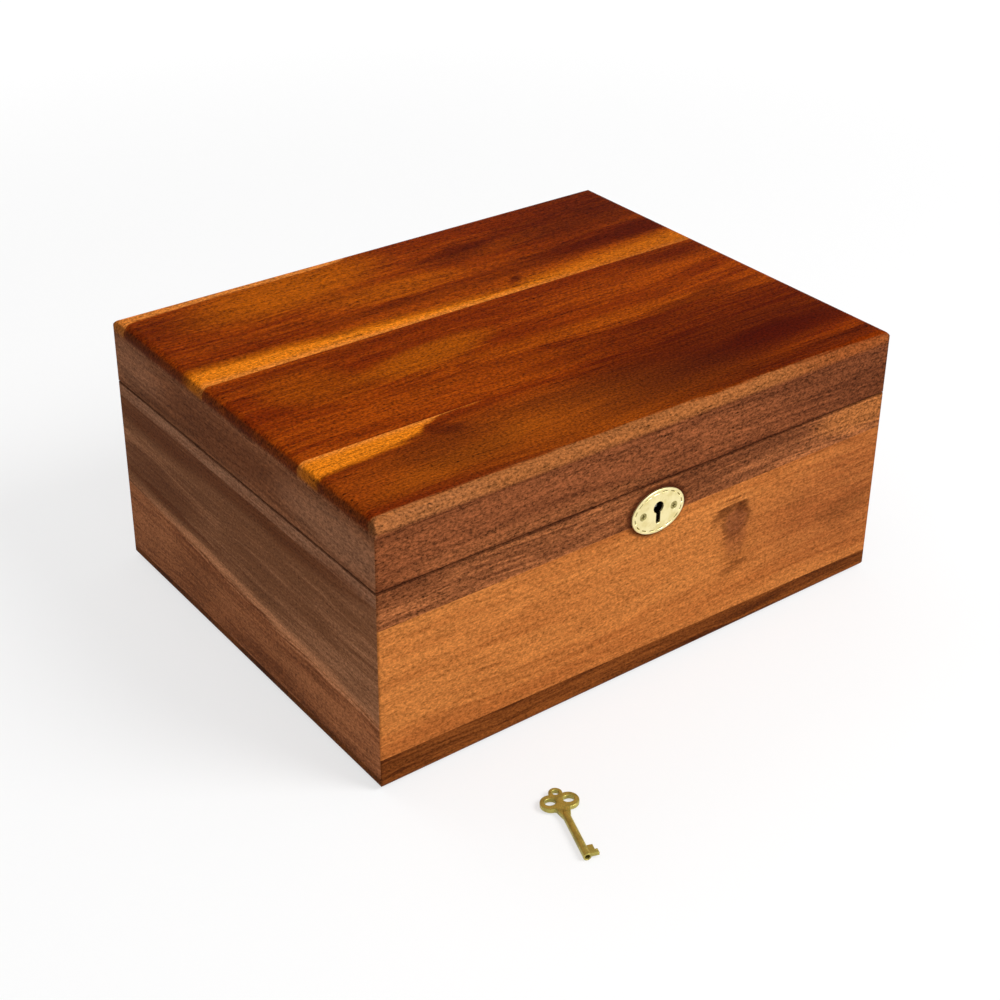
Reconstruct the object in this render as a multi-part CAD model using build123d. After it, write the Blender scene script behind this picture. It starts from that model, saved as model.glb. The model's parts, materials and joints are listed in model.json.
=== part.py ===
from build123d import *
import os

# A wooden keepsake box with a hinged lid, a box lock and a loose key.
# The origin is on the underside of the bottom, at its middle. The front, with the lock, faces -Y.

# Overall sizes, in millimetres
box_length = 279.4
box_depth = 215.9
box_height = 127.0
lid_height = 31.2
wall_thickness = 12.0
top_thickness = 7.0
bottom_thickness = 6.0
seam_gap = 0.4

# Edges of the wood
edge_radius = 4.0
corner_radius = 1.0
seam_chamfer = 0.35

# Glue joints between the boards of the top and the bottom, as distances from the middle
top_joint_back = 24.0
top_joint_front = -53.0
bottom_joint_back = 40.0
bottom_joint_front = -36.0

# Glue joints in the walls: strips are measured down from the seam, low boards up from the floor
front_strip_width = 17.4
front_low_joint_left = 15.5
front_low_joint_right = 10.0
left_strip_width = 6.6
left_low_joint_front = 33.5
left_low_joint_back = 42.5
right_strip_width = 12.0
right_low_joint = 39.0
back_low_joint = 52.0

# Hinges
hinge_spacing = 150.0
hinge_width = 30.0
hinge_leaf_depth = 9.5
hinge_leaf_thickness = 1.0
hinge_leaf_gap = 0.3
hinge_barrel_radius = 2.0
hinge_pin_radius = 0.75
hinge_pin_clearance = 0.05
hinge_knuckle_count = 5
hinge_knuckle_gap = 0.3
hinge_body_clearance = 0.35
hinge_stop_angle = 95.0
hinge_lip_length = 2.4
hinge_lip_thickness = 0.9

# Screws
screw_head_radius = 1.9
screw_shank_radius = 0.95
screw_length = 8.0
escutcheon_screw_cover = 1.4
screw_cross_reach = 1.2
screw_cross_width = 0.5
screw_cross_depth = 0.8
screw_clearance = 0.04
screw_edge_distance = 2.3

# Lock
lock_x = 2.4
lock_plate_width = 38.0
lock_plate_height = 26.0
lock_plate_thickness = 1.0
selvedge_depth = 7.0
case_width = 30.0
case_height = 22.0
case_depth = 5.6
case_sheet = 0.8
mortise_clearance = 0.2
key_drop = 12.0
drill_pin_radius = 0.9
drill_pin_setback = 1.2

# Bolt, its guide posts and its spring
bolt_thickness = 2.0
bolt_length = 22.5
bolt_height = 4.0
bolt_travel = 3.5
bolt_above_key = 2.1
finger_length = 3.4
finger_height = 2.0
finger_stem_width = 2.0
talon_width = 4.4
post_radius = 0.9
post_clearance = 0.1
spring_thickness = 0.25
spring_height = 2.0
spring_half_length = 5.2
spring_contact_gap = 0.05
post_offsets = (-7.4, 6.2)

# Staples on the strike plate in the lid
staple_spacing = 14.0
staple_thickness = 1.4
staple_width = 4.0
staple_eye_margin = 0.3
staple_rim = 0.9
staple_slot_clearance = 0.35
staple_bolt_gap = 0.4
finger_tip_gap = 0.4

# Keyhole and escutcheon
escutcheon_length = 29.0
escutcheon_height = 21.0
escutcheon_thickness = 1.0
escutcheon_bevel = 0.35
escutcheon_below_key = 1.8
escutcheon_screw_spacing = 17.2
keyhole_radius = 2.4
keyhole_slot_width = 2.0
keyhole_slot_drop = 7.8
keyhole_wood_clearance = 0.3

# Key, lying flat on the floor in front of the box
key_length = 41.0
key_shaft_radius = 1.7
key_bow_thickness = 2.0
key_lobe_radius = 4.5
key_lobe_spread = 3.7
key_lobe_hole_length = 4.6
key_lobe_hole_width = 3.7
key_lobe_hole_shift = 0.2
key_crown_radius = 2.9
key_crown_height = 5.2
key_crown_hole_radius = 1.35
key_neck_width = 5.4
key_neck_length = 7.6
key_bore_clearance = 0.15
key_bore_depth = 11.0
key_bit_thickness = 1.6
key_bit_reach = 5.1
key_bit_short_reach = 4.0
key_bit_length = 5.2
key_bit_tip_length = 2.4
key_bit_setback = 0.6
key_edge_chamfer = 0.2
key_tip_x = -97.7
key_tip_y = -188.0
key_direction = 70.7

# Heights and faces that several pieces share
lid_bottom = box_height - lid_height
base_top = lid_bottom - seam_gap
hinge_z = (lid_bottom + base_top) / 2
half_length = box_length / 2
half_depth = box_depth / 2
inner_half_length = half_length - wall_thickness
inner_half_depth = half_depth - wall_thickness
front_inner_y = -inner_half_depth
lid_wall_top = box_height - top_thickness
hinge_y = half_depth + hinge_barrel_radius + hinge_body_clearance
key_z = base_top - key_drop
plate_inner_y = front_inner_y - lock_plate_thickness
case_front_y = plate_inner_y - case_depth
escutcheon_screw_length = escutcheon_thickness + case_front_y + half_depth - escutcheon_screw_cover
case_inner_y = case_front_y + case_sheet
case_top_z = base_top - lock_plate_thickness
bolt_y = (case_inner_y + plate_inner_y) / 2
bolt_bottom_z = key_z + bolt_above_key
bolt_top_z = bolt_bottom_z + bolt_height
staple_bottom_z = bolt_top_z + staple_bolt_gap
staple_eye_z = staple_bottom_z + staple_rim
finger_z = staple_eye_z + staple_eye_margin
escutcheon_z = key_z - escutcheon_below_key
through = box_height + box_depth + box_length


def block(x0, x1, y0, y1, z0, z1):
    """A box between two corners."""
    middle = Pos((x0 + x1) / 2, (y0 + y1) / 2, (z0 + z1) / 2)
    return middle * Box(x1 - x0, y1 - y0, z1 - z0)


def rod_along_x(x0, x1, y, z, radius):
    return Pos((x0 + x1) / 2, y, z) * Rot(0, 90, 0) * Cylinder(radius, x1 - x0)


def rod_along_y(y0, y1, x, z, radius):
    return Pos(x, (y0 + y1) / 2, z) * Rot(90, 0, 0) * Cylinder(radius, y1 - y0)


# The wood


def outer_shape():
    """The closed box from outside: eased corners, rounded edges round the top and the bottom."""
    plan = extrude(RectangleRounded(box_length, box_depth, corner_radius), box_height)
    raised = Pos(0, box_height / 2)
    front_view = Plane.XZ * raised * RectangleRounded(box_length, box_height, edge_radius)
    side_view = Plane.YZ * raised * RectangleRounded(box_depth, box_height, edge_radius)
    return plan & extrude(front_view, through, both=True) & extrude(side_view, through, both=True)


def seam_block(z0, z1, seam_face):
    """The box above or below the seam, its outer edges eased there. seam_face is 0 below it, -1 on top."""
    part = block(-half_length, half_length, -half_depth, half_depth, z0, z1)
    rim = part.faces().sort_by(Axis.Z)[seam_face].edges()
    return chamfer(rim, seam_chamfer)


shape = outer_shape()
lid_shape = shape & seam_block(lid_bottom, box_height, 0)
base_shape = shape & seam_block(0, base_top, -1)


def mitred_plan(side):
    """Plan of one wall: its outer face at full length, both ends cut at 45 degrees."""
    outer_x, outer_y = half_length, half_depth
    inner_x, inner_y = inner_half_length, inner_half_depth
    corners = {
        "front": [(-outer_x, -outer_y), (outer_x, -outer_y), (inner_x, -inner_y), (-inner_x, -inner_y)],
        "back": [(-outer_x, outer_y), (-inner_x, inner_y), (inner_x, inner_y), (outer_x, outer_y)],
        "left": [(-outer_x, -outer_y), (-inner_x, -inner_y), (-inner_x, inner_y), (-outer_x, outer_y)],
        "right": [(outer_x, -outer_y), (outer_x, outer_y), (inner_x, inner_y), (inner_x, -inner_y)],
    }
    return make_face(Polyline(*corners[side], close=True))


def wall_board(side, low, high, limits):
    """One board of a wall. low and high give its two edges' heights at the -X or -Y end and at the other."""
    half = half_length if side in ("front", "back") else half_depth
    plane = Plane.XZ if side in ("front", "back") else Plane.YZ
    outline = [(-half, low[0]), (half, low[1]), (half, high[1]), (-half, high[0])]
    band = extrude(plane * make_face(Polyline(*outline, close=True)), through, both=True)
    return extrude(mitred_plan(side), box_height) & band & limits


def flat_board(y0, y1, z0, z1):
    """One full-length board of the top or the bottom."""
    return block(-half_length, half_length, y0, y1, z0, z1) & shape


def level(height):
    return (height, height)


front_joint = level(base_top - front_strip_width)
front_low = (front_low_joint_left, front_low_joint_right)
left_joint = level(base_top - left_strip_width)
left_low = (left_low_joint_front, left_low_joint_back)
right_joint = level(base_top - right_strip_width)
floor_level = level(bottom_thickness)
rim_level = level(base_top)

wood = {
    "top_board_back": flat_board(top_joint_back, half_depth, lid_wall_top, box_height),
    "top_board_middle": flat_board(top_joint_front, top_joint_back, lid_wall_top, box_height),
    "top_board_front": flat_board(-half_depth, top_joint_front, lid_wall_top, box_height),
    "bottom_board_back": flat_board(bottom_joint_back, half_depth, 0, bottom_thickness),
    "bottom_board_middle": flat_board(bottom_joint_front, bottom_joint_back, 0, bottom_thickness),
    "bottom_board_front": flat_board(-half_depth, bottom_joint_front, 0, bottom_thickness),
    "front_wall_strip": wall_board("front", front_joint, rim_level, base_shape),
    "front_wall_board": wall_board("front", front_low, front_joint, base_shape),
    "front_wall_low_strip": wall_board("front", floor_level, front_low, base_shape),
    "left_wall_strip": wall_board("left", left_joint, rim_level, base_shape),
    "left_wall_board": wall_board("left", left_low, left_joint, base_shape),
    "left_wall_low_board": wall_board("left", floor_level, left_low, base_shape),
    "right_wall_strip": wall_board("right", right_joint, rim_level, base_shape),
    "right_wall_board": wall_board("right", level(right_low_joint), right_joint, base_shape),
    "right_wall_low_board": wall_board("right", floor_level, level(right_low_joint), base_shape),
    "back_wall_board": wall_board("back", level(back_low_joint), rim_level, base_shape),
    "back_wall_low_board": wall_board("back", floor_level, level(back_low_joint), base_shape),
}
for side in ("front", "left", "back", "right"):
    wood["lid_" + side + "_wall"] = wall_board(side, level(lid_bottom), level(lid_wall_top), lid_shape)


# Screws


def screw(head_height, length, spare=0.0):
    """A countersunk screw pointing down, its head's flat at z = 0. With spare it is the hole for one."""
    head = Pos(0, 0, -head_height / 2) * Cone(screw_shank_radius + spare, screw_head_radius + spare, head_height)
    shank = Pos(0, 0, -length / 2) * Cylinder(screw_shank_radius + spare, length)
    body = head + shank
    if spare == 0.0:
        arm = block(-screw_cross_reach, screw_cross_reach, -screw_cross_width / 2, screw_cross_width / 2,
                    -screw_cross_depth, screw_cross_depth)
        body = body - arm - Rot(0, 0, 90) * arm
    return body


def screws(places, head_height, length=screw_length):
    """The screws at the given places, and the holes that they stand in."""
    made = [place * screw(head_height, length) for place in places]
    holes = [place * screw(head_height, length, screw_clearance) for place in places]
    return made, holes


def cut(solid, tools):
    for tool in tools:
        solid = solid - tool
    return solid


def cut_wood(names, tools):
    for name in names:
        wood[name] = cut(wood[name], tools)


# Hinges


def knuckle_ranges(first):
    """Ranges along X of every second knuckle, starting with the given one."""
    pitch = hinge_width / hinge_knuckle_count
    starts = [-hinge_width / 2 + index * pitch for index in range(first, hinge_knuckle_count, 2)]
    return [(start + hinge_knuckle_gap / 2, start + pitch - hinge_knuckle_gap / 2) for start in starts]


def hinge_leaf(up, first_knuckle):
    """A leaf with its knuckles and its stop lip. up is 1 for the lid's leaf and -1 for the base's."""
    leaf_z = sorted((up * hinge_leaf_gap / 2, up * (hinge_leaf_gap / 2 + hinge_leaf_thickness)))
    back_face = half_depth - hinge_y
    plate_end = -hinge_barrel_radius - hinge_body_clearance - hinge_leaf_gap / 2
    half = hinge_width / 2
    leaf = block(-half, half, back_face - hinge_leaf_depth, plate_end, leaf_z[0], leaf_z[1])
    lip_start = hinge_barrel_radius + hinge_leaf_gap
    lip_z = sorted((up * hinge_leaf_gap / 2, up * (hinge_leaf_gap / 2 + hinge_lip_thickness)))
    lip = block(-half, half, lip_start, lip_start + hinge_lip_length, lip_z[0], lip_z[1])
    turn = Rot(up * hinge_stop_angle / 2, 0, 0)
    leaf = leaf + turn * lip
    for x0, x1 in knuckle_ranges(first_knuckle):
        leaf = leaf + block(x0, x1, plate_end - hinge_leaf_gap, 0, leaf_z[0], leaf_z[1])
        leaf = leaf + turn * block(x0, x1, 0, lip_start + hinge_leaf_gap, lip_z[0], lip_z[1])
        leaf = leaf + rod_along_x(x0, x1, 0, 0, hinge_barrel_radius)
    bore = rod_along_x(-hinge_width, hinge_width, 0, 0, hinge_pin_radius + hinge_pin_clearance)
    return leaf - bore


def hinge_recess(up):
    """The shallow recess for a leaf in the edge of the back wall."""
    edge = hinge_z - base_top
    z0, z1 = sorted((up * edge, up * (hinge_leaf_gap / 2 + hinge_leaf_thickness)))
    half = hinge_width / 2 + mortise_clearance
    back_face = half_depth - hinge_y
    return block(-half, half, back_face - hinge_leaf_depth - mortise_clearance, hinge_barrel_radius, z0, z1)


hinge_screw_y = half_depth - hinge_leaf_depth / 2 - hinge_leaf_gap
hinge_screw_offset = hinge_width / 2 - screw_head_radius - screw_edge_distance
hinge_centres = {"left": -hinge_spacing / 2, "right": hinge_spacing / 2}
hinge_parts = {}
base_screw_places = []
lid_screw_places = []
for name, centre in hinge_centres.items():
    place = Pos(centre, hinge_y, hinge_z)
    hinge_parts["base_hinge_leaf_" + name] = place * hinge_leaf(-1, 0)
    hinge_parts["lid_hinge_leaf_" + name] = place * hinge_leaf(1, 1)
    hinge_parts["hinge_pin_" + name] = place * rod_along_x(-hinge_width / 2, hinge_width / 2, 0, 0, hinge_pin_radius)
    cut_wood(["back_wall_board"], [place * hinge_recess(-1)])
    cut_wood(["lid_back_wall"], [place * hinge_recess(1)])
    for offset in (-hinge_screw_offset, hinge_screw_offset):
        base_screw_places.append(Pos(centre + offset, hinge_screw_y, hinge_z - hinge_leaf_gap / 2))
        lid_screw_places.append(Pos(centre + offset, hinge_screw_y, hinge_z + hinge_leaf_gap / 2) * Rot(180, 0, 0))

base_hinge_screws, base_holes = screws(base_screw_places, hinge_leaf_thickness)
lid_hinge_screws, lid_holes = screws(lid_screw_places, hinge_leaf_thickness)
cut_wood(["back_wall_board"], base_holes)
cut_wood(["lid_back_wall"], lid_holes)
for name in hinge_centres:
    hinge_parts["base_hinge_leaf_" + name] = cut(hinge_parts["base_hinge_leaf_" + name], base_holes)
    hinge_parts["lid_hinge_leaf_" + name] = cut(hinge_parts["lid_hinge_leaf_" + name], lid_holes)


# Keyhole


def keyhole(y0, y1, spare=0.0):
    """The keyhole as a solid from y0 to y1: a round hole over a narrow slot with a round end."""
    radius = keyhole_radius + spare
    half_slot = keyhole_slot_width / 2 + spare
    slot_end = key_z - keyhole_slot_drop + half_slot
    hole = rod_along_y(y0, y1, lock_x, key_z, radius)
    hole = hole + block(lock_x - half_slot, lock_x + half_slot, y0, y1, slot_end, key_z)
    return hole + rod_along_y(y0, y1, lock_x, slot_end, half_slot)


# Lock case and its plate

plate_half = lock_plate_width / 2
case_half = case_width / 2
case_bottom_z = case_top_z - case_height
plate_bottom_z = base_top - lock_plate_height
selvedge_front_y = front_inner_y - selvedge_depth
staple_xs = [lock_x - staple_spacing / 2, lock_x + staple_spacing / 2]

lock_case = block(lock_x - case_half, lock_x + case_half, case_front_y, plate_inner_y, case_bottom_z, case_top_z)
lock_case = lock_case - block(lock_x - case_half + case_sheet, lock_x + case_half - case_sheet,
                              case_inner_y, plate_inner_y, case_bottom_z + case_sheet, case_top_z)
lock_case = lock_case - keyhole(case_front_y - case_sheet, case_inner_y + case_sheet, keyhole_wood_clearance)

lock_plate = block(lock_x - plate_half, lock_x + plate_half, plate_inner_y, front_inner_y, plate_bottom_z, base_top)
lock_plate = lock_plate + block(lock_x - plate_half, lock_x + plate_half,
                                selvedge_front_y, front_inner_y, case_top_z, base_top)
for x in staple_xs:
    half_x = staple_thickness / 2 + staple_slot_clearance
    half_y = staple_width / 2 + staple_slot_clearance
    lock_plate = lock_plate - block(x - half_x, x + half_x, bolt_y - half_y, bolt_y + half_y,
                                    case_top_z - lock_plate_thickness, base_top)

screw_x = plate_half - screw_edge_distance
selvedge_screw_y = (selvedge_front_y + front_inner_y) / 2
lock_screw_places = []
strike_screw_places = []
for x in (lock_x - screw_x, lock_x + screw_x):
    lock_screw_places.append(Pos(x, selvedge_screw_y, base_top))
    lock_screw_places.append(Pos(x, front_inner_y, plate_bottom_z + screw_edge_distance) * Rot(-90, 0, 0))
    strike_screw_places.append(Pos(x, selvedge_screw_y, lid_bottom) * Rot(180, 0, 0))
lock_screws, lock_holes = screws(lock_screw_places, lock_plate_thickness)
strike_screws, strike_holes = screws(strike_screw_places, lock_plate_thickness)
lock_plate = cut(lock_plate, lock_holes)

drill_pin = rod_along_y(-half_depth + drill_pin_setback, plate_inner_y, lock_x, key_z, drill_pin_radius)


# Bolt, withdrawn. It slides along +X to lock.

post_z = (bolt_bottom_z + bolt_top_z) / 2
bolt_y0 = bolt_y - bolt_thickness / 2
bolt_y1 = bolt_y + bolt_thickness / 2
finger_tips = [x - staple_thickness / 2 - finger_tip_gap for x in staple_xs]
bolt_x0 = finger_tips[0] - finger_length - finger_stem_width
bolt_x1 = bolt_x0 + bolt_length
post_xs = [lock_x + offset for offset in post_offsets]

bolt = block(bolt_x0, bolt_x1, bolt_y0, bolt_y1, bolt_bottom_z, bolt_top_z)
for tip in finger_tips:
    root = tip - finger_length
    bolt = bolt + block(root - finger_stem_width, root, bolt_y0, bolt_y1, bolt_bottom_z, finger_z + finger_height)
    bolt = bolt + block(root, tip, bolt_y0, bolt_y1, finger_z, finger_z + finger_height)
talon_x = lock_x - bolt_travel / 2
talon_top_z = key_z + key_bit_reach + staple_eye_margin
bolt = bolt - block(talon_x - talon_width / 2, talon_x + talon_width / 2, bolt_y0, bolt_y1,
                    bolt_bottom_z, talon_top_z)
slot_radius = post_radius + post_clearance
for x in post_xs:
    bolt = bolt - rod_along_y(bolt_y0, bolt_y1, x, post_z, slot_radius)
    bolt = bolt - rod_along_y(bolt_y0, bolt_y1, x - bolt_travel, post_z, slot_radius)
    bolt = bolt - block(x - bolt_travel, x, bolt_y0, bolt_y1, post_z - slot_radius, post_z + slot_radius)

bolt_posts = [rod_along_y(case_inner_y, plate_inner_y, x, post_z, post_radius) for x in post_xs]

spring_x = sum(post_xs) / 2
spring_peak_y = bolt_y1 + spring_contact_gap
spring_ends = [(spring_x - spring_half_length, plate_inner_y), (spring_x + spring_half_length, plate_inner_y)]
spring_front = [(x, y - spring_thickness) for x, y in spring_ends]
spring_outline = Curve() + [
    ThreePointArc(spring_front[0], (spring_x, spring_peak_y), spring_front[1]),
    Line(spring_front[1], spring_ends[1]),
    ThreePointArc(spring_ends[1], (spring_x, spring_peak_y + spring_thickness), spring_ends[0]),
    Line(spring_ends[0], spring_front[0]),
]
bolt_spring = Pos(0, 0, post_z - spring_height / 2) * extrude(make_face(spring_outline), spring_height)


# Strike plate with its two staples, on the lid

strike_plate = block(lock_x - plate_half, lock_x + plate_half, selvedge_front_y, front_inner_y,
                     lid_bottom, lid_bottom + lock_plate_thickness)
for x in staple_xs:
    half_x = staple_thickness / 2
    half_eye = bolt_thickness / 2 + staple_eye_margin
    staple = block(x - half_x, x + half_x, bolt_y - staple_width / 2, bolt_y + staple_width / 2,
                   staple_bottom_z, lid_bottom + lock_plate_thickness / 2)
    eye = block(x - staple_thickness, x + staple_thickness, bolt_y - half_eye, bolt_y + half_eye,
                staple_eye_z, finger_z + finger_height + staple_eye_margin)
    strike_plate = strike_plate + (staple - eye)
strike_plate = cut(strike_plate, strike_holes)


# Escutcheon

plate_face_y = -half_depth - escutcheon_thickness
escutcheon_plane = Plane(origin=(lock_x, -half_depth, escutcheon_z), x_dir=(1, 0, 0), z_dir=(0, -1, 0))
escutcheon = extrude(escutcheon_plane * Ellipse(escutcheon_length / 2, escutcheon_height / 2), escutcheon_thickness)
escutcheon_rim = escutcheon.faces().sort_by(Axis.Y)[0].edges()
escutcheon = chamfer(escutcheon_rim, escutcheon_bevel)
escutcheon = escutcheon - keyhole(plate_face_y - escutcheon_thickness, -half_depth + escutcheon_thickness)
escutcheon_screw_places = [
    Pos(lock_x + side * escutcheon_screw_spacing / 2, plate_face_y, escutcheon_z) * Rot(90, 0, 0)
    for side in (-1, 1)
]
escutcheon_screws, escutcheon_holes = screws(
    escutcheon_screw_places, escutcheon_thickness, escutcheon_screw_length)
escutcheon = cut(escutcheon, escutcheon_holes)


# Mortises in the front walls

grow = mortise_clearance
plate_recess = block(lock_x - plate_half - grow, lock_x + plate_half + grow, plate_inner_y, front_inner_y + grow,
                     plate_bottom_z - grow, base_top + grow)
selvedge_recess = block(lock_x - plate_half - grow, lock_x + plate_half + grow, selvedge_front_y - grow,
                        front_inner_y + grow, case_top_z, base_top + grow)
case_mortise = block(lock_x - case_half - grow, lock_x + case_half + grow, case_front_y, plate_inner_y,
                     case_bottom_z - grow, base_top)
strike_recess = block(lock_x - plate_half - grow, lock_x + plate_half + grow, selvedge_front_y - grow,
                      front_inner_y + grow, lid_bottom - grow, lid_bottom + lock_plate_thickness)
wood_keyhole = keyhole(-half_depth - edge_radius, case_front_y + case_sheet, keyhole_wood_clearance)
lock_cuts = [plate_recess, selvedge_recess, case_mortise, wood_keyhole] + lock_holes + escutcheon_holes
cut_wood(["front_wall_strip", "front_wall_board"], lock_cuts)
cut_wood(["lid_front_wall"], [strike_recess] + strike_holes)


# Key


def key():
    """The key with its tip at the origin and its bow along +X, flat on the floor, its bit towards -Y."""
    bow_x = key_length - key_crown_height - key_crown_radius
    lobes = [Pos(bow_x, side * key_lobe_spread) * Circle(key_lobe_radius) for side in (-1, 1)]
    crown = Pos(bow_x + key_crown_height, 0) * Circle(key_crown_radius)
    neck_x = bow_x - key_neck_length
    neck = make_face(Polyline(
        (neck_x, -key_shaft_radius), (bow_x, -key_neck_width), (bow_x, key_neck_width), (neck_x, key_shaft_radius),
        close=True))
    outline = lobes[0] + lobes[1] + crown + neck
    holes = [
        Pos(bow_x + key_lobe_hole_shift, side * (key_lobe_spread + key_lobe_hole_shift))
        * Ellipse(key_lobe_hole_width / 2, key_lobe_hole_length / 2)
        for side in (-1, 1)
    ]
    holes.append(Pos(bow_x + key_crown_height, 0) * Circle(key_crown_hole_radius))
    for hole in holes:
        outline = outline - hole
    bow = Pos(0, 0, -key_bow_thickness / 2) * extrude(outline, key_bow_thickness)
    flat_faces = bow.faces().filter_by(Axis.Z)
    bow = chamfer(flat_faces.edges(), key_edge_chamfer)
    shaft = rod_along_x(0, neck_x + key_neck_length / 2, 0, 0, key_shaft_radius)
    half_bit = key_bit_thickness / 2
    tip_end = key_bit_setback + key_bit_tip_length
    bit = block(key_bit_setback, tip_end, -key_bit_reach, 0, -half_bit, half_bit)
    bit = bit + block(tip_end, key_bit_setback + key_bit_length, -key_bit_short_reach, 0, -half_bit, half_bit)
    bore = rod_along_x(0, key_bore_depth, 0, 0, drill_pin_radius + key_bore_clearance)
    return Pos(0, 0, key_shaft_radius) * (bow + shaft + bit - bore)


key_place = Pos(key_tip_x, key_tip_y, 0) * Rot(0, 0, key_direction)


# Write one file for each piece, or for each group of like pieces

pieces = dict(wood)
pieces.update(hinge_parts)
pieces.update({
    "lock_plate": lock_plate,
    "lock_case": lock_case,
    "drill_pin": drill_pin,
    "lock_bolt": bolt,
    "bolt_spring": bolt_spring,
    "strike_plate": strike_plate,
    "escutcheon": escutcheon,
    "key": key_place * key(),
    "base_hinge_screws": Compound(base_hinge_screws),
    "lid_hinge_screws": Compound(lid_hinge_screws),
    "lock_screws": Compound(lock_screws),
    "strike_screws": Compound(strike_screws),
    "escutcheon_screws": Compound(escutcheon_screws),
    "bolt_guide_posts": Compound(bolt_posts),
})

os.makedirs("parts", exist_ok=True)
for name, piece in pieces.items():
    export_step(piece, "parts/" + name + ".step")
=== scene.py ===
import json
import math
from collections import namedtuple

import bmesh
import bpy
from bmesh.types import BMEdge, BMFace, BMVert
from bpy.props import FloatProperty, FloatVectorProperty, IntProperty, PointerProperty
from mathutils import Matrix, Vector


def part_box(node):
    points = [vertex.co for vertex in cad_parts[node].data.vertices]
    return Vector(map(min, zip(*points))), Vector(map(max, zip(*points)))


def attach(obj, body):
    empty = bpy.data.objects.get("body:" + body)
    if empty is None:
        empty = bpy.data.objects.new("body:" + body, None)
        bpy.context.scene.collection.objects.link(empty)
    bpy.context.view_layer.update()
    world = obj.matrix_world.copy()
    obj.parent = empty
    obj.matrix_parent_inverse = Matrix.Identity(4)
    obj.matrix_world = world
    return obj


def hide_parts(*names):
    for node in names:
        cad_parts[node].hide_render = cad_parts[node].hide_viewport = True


bl_info = {
    "name": "Keepsake Box",
    "version": (1, 0, 0),
    "blender": (4, 5, 0),
    "location": "3D View > Sidebar > Keepsake Box",
    "description": "Finishes the boards and makes the fittings of a wooden keepsake box",
    "category": "Add Mesh",
}

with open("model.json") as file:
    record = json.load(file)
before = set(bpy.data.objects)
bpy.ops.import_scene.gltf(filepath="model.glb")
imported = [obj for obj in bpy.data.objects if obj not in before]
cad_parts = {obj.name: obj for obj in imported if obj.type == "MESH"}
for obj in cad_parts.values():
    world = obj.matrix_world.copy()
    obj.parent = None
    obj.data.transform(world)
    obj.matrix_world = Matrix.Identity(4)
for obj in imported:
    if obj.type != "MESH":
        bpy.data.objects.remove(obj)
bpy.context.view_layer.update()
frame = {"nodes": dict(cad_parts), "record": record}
nodes = frame["nodes"]
bodies = frame["record"]["behaviour"]["bodies"]
body_of = {node: body for body, members in bodies.items() for node in members}

MM = 0.001
HALF_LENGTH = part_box("top_board_middle")[1].x / MM
HALF_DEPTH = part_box("top_board_back")[1].y / MM
TOP_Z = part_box("top_board_middle")[1].z / MM
SEAM_Z = (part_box("front_wall_strip")[1].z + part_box("lid_front_wall")[0].z) / 2 / MM
BACK_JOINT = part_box("top_board_back")[0].y / MM
FRONT_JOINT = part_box("top_board_front")[1].y / MM


# Sizes and colours


def shade(red, green, blue):
    """The linear values of a colour that is given as a screen shows it, from 0 to 255."""
    parts = (red / 255, green / 255, blue / 255)
    return tuple(part / 12.92 if part <= 0.04045 else ((part + 0.055) / 1.055) ** 2.4 for part in parts)


def colour(name, description, *parts):
    return FloatVectorProperty(
        name=name, description=description, subtype="COLOR", size=3, min=0.0, max=1.0, default=shade(*parts)
    )


def length(name, description, millimetres):
    default = millimetres * MM
    return FloatProperty(name=name, description=description, unit="LENGTH", precision=5, default=default)


def location(name, description, *millimetres):
    default = [part * MM for part in millimetres]
    return FloatVectorProperty(name=name, description=description, unit="LENGTH", size=3, default=default)


def number(name, description, default, unit="NONE"):
    return FloatProperty(name=name, description=description, unit=unit, default=default)


def turn(name, description, degrees):
    return FloatProperty(name=name, description=description, subtype="ANGLE", default=math.radians(degrees))


# Each kind of wood: where it is, and the colours of its dark and its light figure.
KINDS = {
    "top": ("lid's top", (112, 36, 2), (148, 62, 5)),
    "plum": ("lid's front wall", (91, 47, 26), (132, 74, 42)),
    "strip": ("front wall's strip", (108, 60, 34), (168, 101, 58)),
    "tan": ("front wall's tan board", (167, 95, 44), (188, 115, 56)),
    "low": ("front wall's low strip and the bottom", (84, 40, 15), (130, 71, 29)),
    "umber": ("lid's side and back walls", (97, 56, 32), (138, 87, 57)),
    "side": ("middle boards of the sides and back", (116, 73, 46), (153, 104, 72)),
    "russet": ("low boards of the sides and back", (119, 67, 38), (156, 97, 61)),
    "line": ("side walls' strips", (120, 74, 48), (144, 101, 74)),
}


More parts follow.
